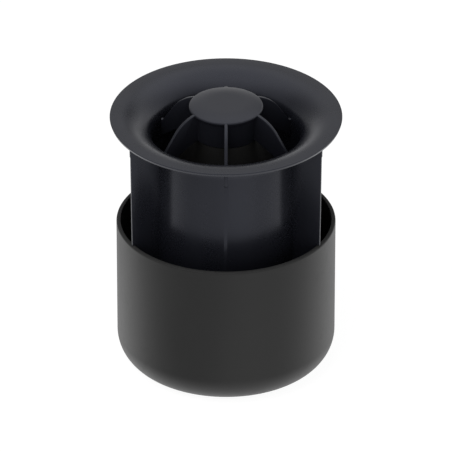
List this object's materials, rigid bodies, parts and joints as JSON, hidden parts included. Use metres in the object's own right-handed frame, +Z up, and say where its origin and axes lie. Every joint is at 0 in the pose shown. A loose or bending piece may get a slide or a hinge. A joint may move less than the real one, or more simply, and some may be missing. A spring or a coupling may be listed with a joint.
{
  "type": "membrane odour trap",
  "caption": "Drain odour trap: flared collar with a dip tube on fins over a water cup, and a rubber cone membrane under a hub with curved arms in the bore.",
  "frame": {"origin": "centre of the cup's flat base", "axes": "+Z up along the trap's axis; -Y is the front, the side of the picture, with one fin at the back"},
  "size_m": [0.15, 0.15, 0.1879],
  "materials": {
    "cup_black": "matte moulded black",
    "collar_slate": "satin moulded dark blue-grey",
    "membrane_rubber": "matte black rubber"
  },
  "bodies": {
    "cup": {"cup": "cup_black"},
    "insert": {"collar": "collar_slate", "hub_insert": "collar_slate", "membrane": "membrane_rubber", "membrane_plug": "collar_slate"}
  },
  "joints": [
    {"name": "insert_lift", "type": "slide", "parent": "cup", "child": "insert", "axis": [0, 0, 1], "range_m": [0, 0.06]}
  ]
}
